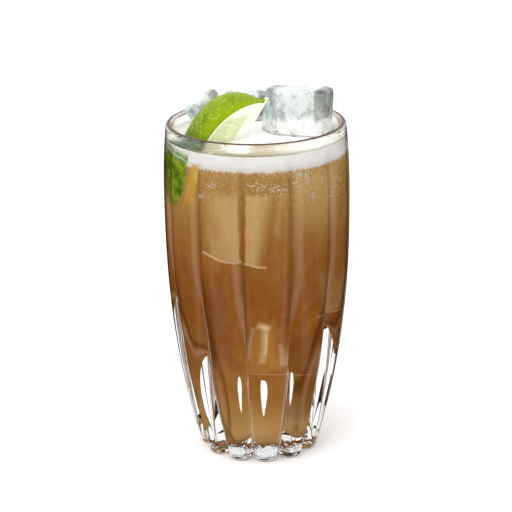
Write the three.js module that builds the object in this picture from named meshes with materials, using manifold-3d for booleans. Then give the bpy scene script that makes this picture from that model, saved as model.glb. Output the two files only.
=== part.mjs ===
// A mule cocktail in its fluted highball glass: cloudy amber drink, white foam, a lime wedge and ice.
// Millimetres, +Z up. The origin is the middle of the foot, on the surface that the glass stands on.
// Seen from the front, which is at -Y, the lime leans on the left wall and the large cube is right.

import * as THREE from 'three';
import { mergeVertices } from 'three/addons/utils/BufferGeometryUtils.js';
import Module from 'manifold-3d';

const wasm = await Module();
wasm.setup();

// Outside of the glass, measured over the crests of its lobes
const HEIGHT = 148;
const RIM_RADIUS = 38.25;
const BELLY_RADIUS = 40;
const BELLY_HEIGHT = 112;
const FOOT_RADIUS = 26;
const LOWER_BOW = 2.38;
const UPPER_BOW = 2.6;
const LIP = 1.1;
const FOOT_EDGE = 2;

// Twelve convex lobes with grooves between them, deep in the lower body and deepest at the foot
const LOBES = 12;
const LOBE_TURN = THREE.MathUtils.degToRad(6.1);
const LOBE_STEPS = 8;
const LOBE_EASE = 1.4;
const SHARPNESS_AT_RIM = 5;
const SHARPNESS_AT_BODY = 3;
const GROOVE_AT_RIM = 1.1;
const GROOVE_AT_BODY = 2.5;
const GROOVE_AT_FOOT = 5.8;
const GROOVE_FADE = 19.4;
const GROOVE_DEEP_TO = 50;
const GROOVE_SHALLOW_FROM = 105;
const GROOVE_RUNOUT = 136;
const GROOVE_END = 144;
const OUTSIDE_ROWS = 17;
const OUTSIDE_GATHER = 1.25;
const NOTCH_LIFT = 1.3;
const NOTCH_HEIGHT = 10;
const FLAT_RADIUS = 16;

// Inside of the glass: a narrow well in thick clear glass, which opens like a tulip to a thin wall
const WALL = 2.7;
const WELL_RADIUS = 17;
const WELL_TOP = 14;
const SHOULDER = 98;
const FLOOR = 6;
const FLOOR_ROUND_WIDTH = 9;
const FLOOR_ROUND_HEIGHT = 8;
const INSIDE_SIDES = 72;
const INSIDE_ROWS = 11;
const FLOOR_ROWS = 4;
const FLOOR_GATHER = 1.6;

// Contents, each a thin gap away from what it touches
const GAP = 0.3;
const LIQUID_LEVEL = 137.5;
const FOAM_LEVEL = 142.6;
const FOAM_RIPPLE = 0.25;
const FOAM_WAVE = { acrossX: 3, acrossY: 4, start: 1 };
const FOAM_CALM_POWER = 6;
const FOAM_CLIMB = 0.5;
const FOAM_CLIMB_POWER = 12;

// The lime wedge is nearly a fifth of a whole lime, cut from tip to tip
const LIME = {
  length: 55,
  radius: 22.7,
  fullness: 2.7,
  nub: { length: 2.4, radius: 3.2, bluntness: 12 },
  rows: 30,
  sides: 60,
  opening: 68,
  at: [-9.4, -4.8, 134.1],
  turn: [8.5, 30, -172.4],
};

// Ice cubes that stand out of the foam; cuts are the melted corners of the plan, from the left front
const ICE = {
  ice_cube_right: {
    size: [31, 22, 29.5],
    cuts: [8, 3, 6, 4],
    edge: 2.2,
    at: [17.5, 4.4, 146.2],
    turn: [-6, 0, -18],
  },
  ice_cube_back: {
    size: [20, 13, 24],
    cuts: [3, 3, 2.5, 4],
    edge: 2,
    at: [-4.8, 25, 142.4],
    turn: [0, 2, 4],
  },
  ice_cube_left: {
    size: [17, 11.2, 16],
    cuts: [2.5, 3, 3, 2.5],
    edge: 1.8,
    at: [-20.5, 12.9, 148],
    turn: [0, -32, 14],
  },
};

const clear = { transparent: true, roughness: 0.03, metalness: 0 };
const materials = {
  glass: new THREE.MeshStandardMaterial({ ...clear, color: 0xe6ecec, opacity: 0.3 }),
  ice: new THREE.MeshStandardMaterial({ ...clear, color: 0xd9e3e8, opacity: 0.6 }),
  drink: new THREE.MeshStandardMaterial({ color: 0xa8733a, roughness: 0.3, metalness: 0 }),
  foam: new THREE.MeshStandardMaterial({ color: 0xf4f1ea, roughness: 0.8, metalness: 0 }),
  lime: new THREE.MeshStandardMaterial({ color: 0x86b81e, roughness: 0.45, metalness: 0 }),
};

// Heights from one level to another, closer together near the first where gather is above 1
function levels(from, to, count, gather = 1) {
  return Array.from({ length: count + 1 }, (_, i) => from + (to - from) * (i / count) ** gather);
}

function crestRadius(z) {
  if (z < BELLY_HEIGHT) {
    const fall = (BELLY_HEIGHT - z) / BELLY_HEIGHT;
    return BELLY_RADIUS - (BELLY_RADIUS - FOOT_RADIUS) * fall ** LOWER_BOW;
  }
  const climb = (z - BELLY_HEIGHT) / (HEIGHT - BELLY_HEIGHT);
  return BELLY_RADIUS - (BELLY_RADIUS - RIM_RADIUS) * climb ** UPPER_BOW;
}

function cavityRadius(z) {
  const open = THREE.MathUtils.smoothstep(z, WELL_TOP, SHOULDER);
  const rise = Math.min(1, (z - FLOOR) / FLOOR_ROUND_HEIGHT);
  const rounding = FLOOR_ROUND_WIDTH * (1 - Math.sqrt(1 - (1 - rise) ** 2));
  return THREE.MathUtils.lerp(WELL_RADIUS, crestRadius(z) - WALL, open) - rounding;
}

// The points of the inner wall from the floor up to a height, moved in by a gap
function innerWall(top, gap) {
  const rounded = FLOOR + FLOOR_ROUND_HEIGHT;
  const upright = levels(rounded, LIQUID_LEVEL, INSIDE_ROWS).slice(1);
  const round = levels(FLOOR, rounded, FLOOR_ROWS, FLOOR_GATHER);
  const heights = [...round, ...upright, FOAM_LEVEL].filter((z) => z + gap < top);
  const wall = heights.map((z) => new THREE.Vector2(cavityRadius(z) - gap, z + gap));
  return [...wall, new THREE.Vector2(cavityRadius(top) - gap, top)];
}

// A quarter circle from the side to the top of an edge, as points of radius and height
function quarter(centre, height, radius, from, to, steps) {
  return levels(from, to, steps).map((angle) => {
    const turn = THREE.MathUtils.degToRad(angle);
    return new THREE.Vector2(centre + radius * Math.cos(turn), height + radius * Math.sin(turn));
  });
}

// A closed solid of revolution about Z, with its first spoke at the front
function turned(points, segments) {
  return new THREE.LatheGeometry(points, segments).rotateX(Math.PI / 2);
}

function toSolid(geometry, matrix = new THREE.Matrix4()) {
  const bare = geometry.clone().applyMatrix4(matrix);
  bare.deleteAttribute('normal');
  bare.deleteAttribute('uv');
  const merged = mergeVertices(bare, 1e-4);
  return new wasm.Manifold(new wasm.Mesh({
    numProp: 3,
    vertProperties: merged.getAttribute('position').array,
    triVerts: new Uint32Array(merged.getIndex().array),
  }));
}

// The largest body of a solid as a geometry, without the scraps that a cut may leave
function toGeometry(solid) {
  const bodies = solid.decompose().sort((a, b) => b.volume() - a.volume());
  const mesh = bodies[0].getMesh();
  const geometry = new THREE.BufferGeometry();
  geometry.setAttribute('position', new THREE.BufferAttribute(mesh.vertProperties, 3));
  geometry.setIndex(new THREE.BufferAttribute(mesh.triVerts, 1));
  geometry.computeVertexNormals();
  return geometry;
}

function named(name, geometry, material) {
  const mesh = new THREE.Mesh(geometry, material);
  mesh.name = name;
  return mesh;
}

function reshape(geometry, move) {
  const place = geometry.getAttribute('position');
  const point = new THREE.Vector3();
  for (let i = 0; i < place.count; i += 1) {
    point.fromBufferAttribute(place, i);
    move(point);
    place.setXYZ(i, point.x, point.y, point.z);
  }
  return geometry;
}

// 0 in the lower body, 1 in the upper body, where the grooves are shallow and narrow
function upperShare(z) {
  return THREE.MathUtils.smoothstep(z, GROOVE_DEEP_TO, GROOVE_SHALLOW_FROM);
}

function grooveDepth(z) {
  const body = THREE.MathUtils.lerp(GROOVE_AT_BODY, GROOVE_AT_RIM, upperShare(z));
  const foot = (GROOVE_AT_FOOT - GROOVE_AT_BODY) * Math.exp(-z / GROOVE_FADE);
  return (body + foot) * (1 - THREE.MathUtils.smoothstep(z, GROOVE_RUNOUT, GROOVE_END));
}

// Presses the grooves into a turned solid, and lifts the notches between the feet of the lobes
function flute(point) {
  const half = Math.PI / LOBES;
  const radius = Math.hypot(point.x, point.y);
  const angle = Math.atan2(point.x, -point.y);
  const lobe = Math.round(angle / (2 * half));
  const share = angle / half - 2 * lobe;
  const eased = Math.sign(share) * (1 - (1 - Math.abs(share)) ** LOBE_EASE);
  const sharpness = THREE.MathUtils.lerp(SHARPNESS_AT_BODY, SHARPNESS_AT_RIM, upperShare(point.z));
  const groove = Math.abs(eased) ** sharpness;
  const outer = radius * (1 - groove * grooveDepth(point.z) / crestRadius(point.z));
  const turnedTo = (2 * lobe + eased) * half + LOBE_TURN;
  const underside = THREE.MathUtils.smoothstep(radius, FLAT_RADIUS, FOOT_RADIUS - FOOT_EDGE);
  const low = 1 - THREE.MathUtils.smoothstep(point.z, 0, NOTCH_HEIGHT);
  point.x = outer * Math.sin(turnedTo);
  point.y = -outer * Math.cos(turnedTo);
  point.z += NOTCH_LIFT * groove * underside * low;
}

function glass() {
  const wallTop = HEIGHT - LIP;
  const heights = levels(FOOT_EDGE, wallTop, OUTSIDE_ROWS, OUTSIDE_GATHER).slice(1);
  const outline = [
    new THREE.Vector2(0, 0),
    new THREE.Vector2(FLAT_RADIUS, 0),
    ...quarter(crestRadius(FOOT_EDGE) - FOOT_EDGE, FOOT_EDGE, FOOT_EDGE, -90, 0, 3),
    ...heights.map((z) => new THREE.Vector2(crestRadius(z), z)),
    ...quarter(RIM_RADIUS - LIP, wallTop, LIP, 0, 90, 3).slice(1),
    new THREE.Vector2(0, HEIGHT),
  ];
  const body = reshape(turned(outline, LOBES * LOBE_STEPS), flute);
  return named('glass', toGeometry(toSolid(body).subtract(cavity())), materials.glass);
}

// The space inside the glass, with a rounded mouth, up through the rim
function cavity() {
  const wallTop = HEIGHT - LIP;
  const mouth = cavityRadius(wallTop) + LIP;
  const lip = quarter(mouth, wallTop, LIP, 180, 100, 2).slice(1);
  const outline = [
    new THREE.Vector2(0, FLOOR),
    ...innerWall(wallTop, 0),
    ...lip,
    new THREE.Vector2(lip.at(-1).x, HEIGHT + LIP),
    new THREE.Vector2(0, HEIGHT + LIP),
  ];
  return toSolid(turned(outline, INSIDE_SIDES));
}

function iceShape({ size, cuts, edge }, grow) {
  const [width, depth, height] = size.map((side) => side + 2 * grow);
  const corners = [[-1, -1], [1, -1], [1, 1], [-1, 1]];
  const plan = new THREE.Shape();
  corners.forEach(([sideX, sideY], i) => {
    const cut = cuts[i];
    const along = sideX * sideY > 0;
    const x = sideX * width / 2;
    const y = sideY * depth / 2;
    const first = along ? [x, y - sideY * cut] : [x - sideX * cut, y];
    const second = along ? [x - sideX * cut, y] : [x, y - sideY * cut];
    if (i === 0) {
      plan.moveTo(...first);
    } else {
      plan.lineTo(...first);
    }
    plan.lineTo(...second);
  });
  plan.closePath();
  const straight = height - 2 * edge;
  return new THREE.ExtrudeGeometry(plan, {
    depth: straight,
    bevelThickness: edge,
    bevelSize: edge,
    bevelOffset: -edge,
    bevelSegments: 2,
  }).translate(0, 0, -straight / 2);
}

// A blunt oval lime with a nub at each end, cut to a wedge with its core on Z and its rind facing +X
function limeShape({ length, radius, fullness, nub, rows, sides, opening }, grow) {
  const reach = length / 2 + nub.length + grow;
  const outline = levels(-1, 1, rows).map((share) => {
    const along = Math.min(1, Math.abs(share) * reach / (length / 2 + grow));
    const body = (radius + grow) ** 2 * (1 - along ** fullness);
    const tip = (nub.radius + grow) ** 2 * (1 - Math.abs(share) ** nub.bluntness);
    return new THREE.Vector2(Math.sqrt(body + tip), share * reach);
  });
  const whole = toSolid(turned(outline, sides));
  const half = THREE.MathUtils.degToRad(opening / 2);
  const core = -grow / Math.sin(half);
  const far = 2 * radius;
  const slice = new THREE.Shape();
  slice.moveTo(core, 0);
  slice.lineTo(core + far * Math.cos(half), -far * Math.sin(half));
  slice.lineTo(core + far * Math.cos(half), far * Math.sin(half));
  slice.closePath();
  const prism = new THREE.ExtrudeGeometry(slice, { depth: 2 * length, bevelEnabled: false });
  return toGeometry(whole.intersect(toSolid(prism.translate(0, 0, -length))));
}

function placed(mesh, { at, turn }) {
  mesh.position.set(...at);
  mesh.rotation.set(...turn.map(THREE.MathUtils.degToRad));
  mesh.updateMatrix();
  return mesh;
}

const lime = placed(named('lime_wedge', limeShape(LIME, 0), materials.lime), LIME);
const limeRoom = toSolid(limeShape(LIME, GAP), lime.matrix);
const cubes = Object.entries(ICE).map(([name, spec]) => {
  const mesh = placed(named(name, iceShape(spec, 0), materials.ice), spec);
  return { mesh, room: toSolid(iceShape(spec, GAP), mesh.matrix) };
});

// Leaves room in a filling for the lime and the ice that stand in it
function cutRound(solid) {
  return cubes.reduce((left, cube) => left.subtract(cube.room), solid.subtract(limeRoom));
}

function drink() {
  const top = LIQUID_LEVEL - GAP / 2;
  const outline = [
    new THREE.Vector2(0, FLOOR + GAP),
    ...innerWall(top, GAP),
    new THREE.Vector2(0, top),
  ];
  return named('drink', toGeometry(cutRound(toSolid(turned(outline, INSIDE_SIDES)))), materials.drink);
}

// Foam with a slightly rippled top that climbs at the wall
function foam() {
  const bottom = LIQUID_LEVEL + GAP / 2;
  const wall = cavityRadius(FOAM_LEVEL) - GAP;
  const outline = [
    new THREE.Vector2(0, bottom),
    new THREE.Vector2(cavityRadius(bottom) - GAP, bottom),
    ...levels(wall, 0, 5, 1.5).map((radius) => new THREE.Vector2(radius, FOAM_LEVEL)),
  ];
  const layer = reshape(turned(outline, INSIDE_SIDES), (point) => {
    if (point.z === Math.fround(FOAM_LEVEL)) {
      const rim = Math.hypot(point.x, point.y) / wall;
      const waveX = Math.sin(point.x / FOAM_WAVE.acrossX);
      const waveY = Math.cos(point.y / FOAM_WAVE.acrossY + FOAM_WAVE.start);
      point.z += FOAM_RIPPLE * waveX * waveY * (1 - rim ** FOAM_CALM_POWER);
      point.z += FOAM_CLIMB * rim ** FOAM_CLIMB_POWER;
    }
  });
  return named('foam', toGeometry(cutRound(toSolid(layer))), materials.foam);
}

const cocktail = new THREE.Group();
cocktail.add(glass(), drink(), foam(), lime, ...cubes.map((cube) => cube.mesh));

export default cocktail;
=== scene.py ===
"""Mule cocktail: a fluted highball glass of cloudy amber drink with foam, a lime wedge and ice."""

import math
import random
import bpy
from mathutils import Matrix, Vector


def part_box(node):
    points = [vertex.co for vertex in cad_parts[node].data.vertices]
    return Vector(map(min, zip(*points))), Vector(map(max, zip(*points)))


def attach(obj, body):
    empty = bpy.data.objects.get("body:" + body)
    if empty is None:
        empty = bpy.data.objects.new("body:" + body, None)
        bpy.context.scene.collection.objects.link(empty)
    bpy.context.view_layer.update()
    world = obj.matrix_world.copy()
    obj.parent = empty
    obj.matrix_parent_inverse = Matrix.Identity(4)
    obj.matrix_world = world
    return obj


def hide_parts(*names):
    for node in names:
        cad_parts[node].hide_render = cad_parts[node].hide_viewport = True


bl_info = {
    "name": "Mule Cocktail",
    "version": (1, 0, 0),
    "blender": (4, 5, 0),
    "location": "View3D > Sidebar > Cocktail",
    "description": "Makes the fluted glass, the cloudy drink, its foam, the lime wedge and the ice",
    "category": "Add Mesh",
}

import bmesh
import bpy
from bpy.props import FloatProperty, FloatVectorProperty, IntProperty, PointerProperty
from mathutils import Matrix, Vector, noise

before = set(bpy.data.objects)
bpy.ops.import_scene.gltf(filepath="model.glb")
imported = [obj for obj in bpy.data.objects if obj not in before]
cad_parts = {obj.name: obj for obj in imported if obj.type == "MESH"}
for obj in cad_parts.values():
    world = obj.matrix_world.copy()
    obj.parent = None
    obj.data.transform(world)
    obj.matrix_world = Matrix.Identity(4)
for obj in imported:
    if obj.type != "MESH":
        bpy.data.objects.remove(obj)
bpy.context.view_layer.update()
MM = 0.001
GLASS_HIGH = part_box("glass")[1]


def light(red, green, blue):
    """A colour as a screen shows it, 0 to 255, as linear light."""
    return tuple((value / 255) ** 2.2 for value in (red, green, blue))


def smooth(value, low, high):
    """0 below low, 1 above high, and an S curve between them."""
    share = min(1, max(0, (value - low) / (high - low)))
    return share * share * (3 - 2 * share)


def blend(low, high, share):
    return low + (high - low) * share


def steps(low, high, count):
    """Evenly spaced values from low to high, both included."""
    return [blend(low, high, i / count) for i in range(count + 1)]


def turned(degrees):
    """The rotation that turns about Z, then Y, then X."""
    x, y, z = (math.radians(angle) for angle in degrees)
    return Matrix.Rotation(x, 4, "X") @ Matrix.Rotation(y, 4, "Y") @ Matrix.Rotation(z, 4, "Z")


def placing(place, degrees):
    return Matrix.Translation(Vector(place)) @ turned(degrees)


# Settings that a user would change

def metres(name, description, default):
    return FloatProperty(name=name, description=description, default=default, unit="LENGTH")


def paint(name, description, default):
    return FloatVectorProperty(
        name=name, description=description, default=default, subtype="COLOR",
    )


class GlassSettings(bpy.types.PropertyGroup):
    height: metres("Height", "From the table to the rim", GLASS_HIGH.z)
    belly: metres("Belly", "Largest radius, over the crests of the lobes", 40 * MM)
    rim: metres("Rim", "Outer radius of the rim", 38.25 * MM)
    foot: metres("Foot", "Radius of the foot, over the crests of the lobes", 26 * MM)
    wall: metres("Wall", "Thickness of the upper wall", 2.7 * MM)
    well: metres("Well", "Radius of the narrow well inside the heavy base", 17 * MM)
    floor: metres("Floor", "Thickness of the clear base under the drink", 6 * MM)
    lobes: IntProperty(
        name="Lobes", description="Number of convex lobes round the glass", default=12,
    )
    tint: paint("Tint", "Colour of the glass", (1, 1, 1))
    # Edge is painted shade: a dark brown painted on the glass along its outline and on its lip, for
    # the dark that refraction shows there.
    edge: paint(
        "Edge", "Colour of the glass where it is seen along its surface", (0.075, 0.025, 0.01),
    )


class DrinkSettings(bpy.types.PropertyGroup):
    level: metres("Level", "Height of the drink under its foam", 137.5 * MM)
    top: paint("Top", "Colour just under the foam", light(190, 150, 88))
    middle: paint("Middle", "Colour of the dark middle", light(156, 94, 38))
    bottom: paint("Bottom", "Colour near the floor of the glass", light(212, 166, 102))
    veil: paint("Veil", "Colour of the drink in front of sunken ice", light(226, 190, 130))
    # The ice edge colour is a painted highlight on the edges of sunken ice.
    ice_edge_highlight: paint("Ice edge", "Colour of the edges of sunken ice", light(246, 218, 168))
    bubbles: IntProperty(
        name="Bubbles", description="Number of bubbles that cling to the wall", default=460,
    )


class FoamSettings(bpy.types.PropertyGroup):
    level: metres("Level", "Height of the top of the foam", 142.6 * MM)
    colour: paint("Colour", "Colour of the foam", light(252, 252, 250))


class LimeSettings(bpy.types.PropertyGroup):
    length: metres("Length", "Length of the lime without its nubs", 55 * MM)
    radius: metres("Radius", "Radius of the lime at its middle", 22.7 * MM)
    opening: FloatProperty(
        name="Opening", description="Angle between the two cut faces",
        default=math.radians(68), subtype="ANGLE",
    )
    rind: paint("Rind", "Light green of the rind", light(124, 148, 6))
    rind_dark: paint("Dark rind", "Deep green of the rind", light(44, 72, 4))
    pulp: paint("Pulp", "Colour of the pulp", light(222, 229, 178))
    pith: paint("Pith", "Colour of the pith", light(246, 249, 236))


class IceSettings(bpy.types.PropertyGroup):
    tint: paint("Tint", "Colour of the clear ice", (0.97, 0.985, 0.99))
    cloud: paint("Cloud", "Colour of the frosted ice", (0.93, 0.95, 0.96))


class StageSettings(bpy.types.PropertyGroup):
    floor: paint("Floor", "Colour of the floor", (0.93, 0.93, 0.93))
    sky: FloatProperty(
        name="Sky", description="Strength of the even white light from all round", default=1.3,
    )


class CocktailSettings(bpy.types.PropertyGroup):
    glass: PointerProperty(type=GlassSettings)
    drink: PointerProperty(type=DrinkSettings)
    foam: PointerProperty(type=FoamSettings)
    lime: PointerProperty(type=LimeSettings)
    ice: PointerProperty(type=IceSettings)
    stage: PointerProperty(type=StageSettings)


# Form of the glass

LOWER_BOW = 2.38
UPPER_BOW = 2.6
BELLY_HEIGHT = 112 * MM
LIP = 1.1 * MM
FOOT_EDGE = 2 * MM
LOBE_TURN = math.radians(6.1)
LOBE_EASE = 1.25
SHARPNESS_AT_BODY = 3
SHARPNESS_AT_RIM = 5
GROOVE_AT_RIM = 1.1 * MM
GROOVE_AT_BODY = 2.5 * MM
GROOVE_AT_FOOT = 5.8 * MM
GROOVE_FADE = 19.4 * MM
GROOVE_DEEP_TO = 50 * MM
GROOVE_SHALLOW_FROM = 105 * MM
GROOVE_RUNOUT = 136 * MM
GROOVE_END = 144 * MM
NOTCH_LIFT = 1.3 * MM
NOTCH_HEIGHT = 10 * MM
FLAT_RADIUS = 16 * MM
WELL_TOP = 14 * MM
SHOULDER = 98 * MM
FLOOR_ROUND_WIDTH = 9 * MM
FLOOR_ROUND_HEIGHT = 8 * MM
INTO_WALL = 0.15 * MM
STEPS_IN_LOBE = 26
CRISP = 0.06 * MM
WALL_REACH = 36
WALL_WAVES = 1.6


class GlassForm:
    """Radii of the glass at a height, worked out from its settings."""

    def __init__(self, settings):
        self.settings = settings

    def crest(self, z):
        belly, top = self.settings.belly, self.settings.height
        if z < BELLY_HEIGHT:
            fall = (BELLY_HEIGHT - z) / BELLY_HEIGHT
            return belly - (belly - self.settings.foot) * fall ** LOWER_BOW
        climb = (z - BELLY_HEIGHT) / (top - BELLY_HEIGHT)
        return belly - (belly - self.settings.rim) * climb ** UPPER_BOW

    def inside(self, z):
        opened = smooth(z, WELL_TOP, SHOULDER)
        rise = min(1, max(0, (z - self.settings.floor) / FLOOR_ROUND_HEIGHT))
        rounding = FLOOR_ROUND_WIDTH * (1 - math.sqrt(1 - (1 - rise) ** 2))
        return blend(self.settings.well, self.crest(z) - self.settings.wall, opened) - rounding

    def groove(self, z):
        shallow = smooth(z, GROOVE_DEEP_TO, GROOVE_SHALLOW_FROM)
        body = blend(GROOVE_AT_BODY, GROOVE_AT_RIM, shallow)
        foot = (GROOVE_AT_FOOT - GROOVE_AT_BODY) * math.exp(-max(0, z) / GROOVE_FADE)
        return (body + foot) * (1 - smooth(z, GROOVE_RUNOUT, GROOVE_END))

    def flute(self, point):
        """Where a point of the turned glass goes when the lobes are pressed."""
        half = math.pi / self.settings.lobes
        radius = math.hypot(point.x, point.y)
        angle = math.atan2(point.x, -point.y)
        lobe = round(angle / (2 * half))
        share = angle / half - 2 * lobe
        eased = math.copysign(1 - (1 - min(1, abs(share))) ** LOBE_EASE, share)
        middle = (self.crest(point.z) + self.inside(point.z)) / 2
        outside = radius > middle or point.z < self.settings.floor / 2
        shallow = smooth(point.z, GROOVE_DEEP_TO, GROOVE_SHALLOW_FROM)
        sharpness = blend(SHARPNESS_AT_BODY, SHARPNESS_AT_RIM, shallow)
        press = abs(eased) ** sharpness if outside else 0
        outer = radius * (1 - press * self.groove(point.z) / self.crest(point.z))
        around = (2 * lobe + eased) * half + LOBE_TURN
        underside = smooth(radius, FLAT_RADIUS, self.settings.foot - FOOT_EDGE)
        lift = NOTCH_LIFT * press * underside * (1 - smooth(point.z, 0, NOTCH_HEIGHT))
        return Vector((outer * math.sin(around), -outer * math.cos(around), point.z + lift))


def arc(centre, height, radius, start, end, count):
    """Points of radius and height on an arc, with angles in degrees from the outside up."""
    angles = [math.radians(angle) for angle in steps(start, end, count)]
    return [(centre + radius * math.cos(a), height + radius * math.sin(a)) for a in angles]


# Making meshes

def spun(profile, count):
    """A closed surface turned about Z from points of radius and height, starting at the front."""
    bm = bmesh.new()
    verts = [bm.verts.new((0, -radius, height)) for radius, height in profile]
    edges = [bm.edges.new(pair) for pair in zip(verts, verts[1:])]
    bmesh.ops.spin(
        bm, geom=verts + edges, cent=(0, 0, 0), axis=(0, 0, 1), dvec=(0, 0, 0),
        angle=math.tau, steps=count, use_merge=True, use_duplicate=False,
    )
    bmesh.ops.remove_doubles(bm, verts=bm.verts, dist=0.001 * MM)
    bmesh.ops.recalc_face_normals(bm, faces=bm.faces)
    return bm


def piece_from(name, bm, *materials):
    """A smooth-shaded object at the origin that takes over a bmesh."""
    mesh = bpy.data.meshes.new(name)
    bm.to_mesh(mesh)
    bm.free()
    mesh.polygons.foreach_set("use_smooth", [True] * len(mesh.polygons))
    for material in materials:
        mesh.materials.append(material)
    piece = bpy.data.objects.new(name, mesh)
    bpy.context.scene.collection.objects.link(piece)
    return piece


def settle(piece):
    """Applies a piece's modifiers to its mesh."""
    depsgraph = bpy.context.evaluated_depsgraph_get()
    mesh = bpy.data.meshes.new_from_object(piece.evaluated_get(depsgraph))
    piece.modifiers.clear()
    piece.data = mesh
    mesh.polygons.foreach_set("use_smooth", [True] * len(mesh.polygons))


def cut_out(piece, cutters):
    """Cuts the space of the cutters out of a piece, and removes them."""
    for cutter in cutters:
        cut = piece.modifiers.new("Cut", "BOOLEAN")
        cut.operation = "DIFFERENCE"
        cut.solver = "EXACT"
        cut.object = cutter
    settle(piece)
    for cutter in cutters:
        bpy.data.objects.remove(cutter)


def rides(piece, slot, *nodes):
    """The piece moves with the glass and stands for CAD nodes, which it hides; its slot is not
    used.
    """
    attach(piece, "root")
    if nodes:
        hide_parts(*nodes)


# Shader maths and nodes

class Value:
    """A number all over a surface: a node's output, used with the signs of arithmetic."""

    def __init__(self, finish, socket):
        self.finish = finish
        self.socket = socket

    def math(self, operation, *others):
        return self.finish.math(operation, self, *others)

    def __add__(self, other):
        return self.math("ADD", other)

    def __sub__(self, other):
        return self.math("SUBTRACT", other)

    def __rsub__(self, other):
        return self.finish.math("SUBTRACT", other, self)

    def __mul__(self, other):
        return self.math("MULTIPLY", other)

    def __truediv__(self, other):
        return self.math("DIVIDE", other)

    def __rtruediv__(self, other):
        return self.finish.math("DIVIDE", other, self)

    def __pow__(self, other):
        return self.math("POWER", other)

    def __abs__(self):
        return self.math("ABSOLUTE")

    __radd__ = __add__
    __rmul__ = __mul__

    def low(self, other):
        return self.math("MINIMUM", other)

    def high(self, other):
        return self.math("MAXIMUM", other)

    def root(self):
        return self.math("SQRT")

    def ramp(self, low, high):
        """0 at low, 1 at high and an S curve between; low may be above high."""
        ends = {1: low, 2: high, 3: 0.0, 4: 1.0}
        if low > high:
            ends = {1: high, 2: low, 3: 1.0, 4: 0.0}
        node = self.finish.node(
            "ShaderNodeMapRange", {"interpolation_type": "SMOOTHSTEP"}, {0: self, **ends}
        )
        return Value(self.finish, node.outputs[0])


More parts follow.
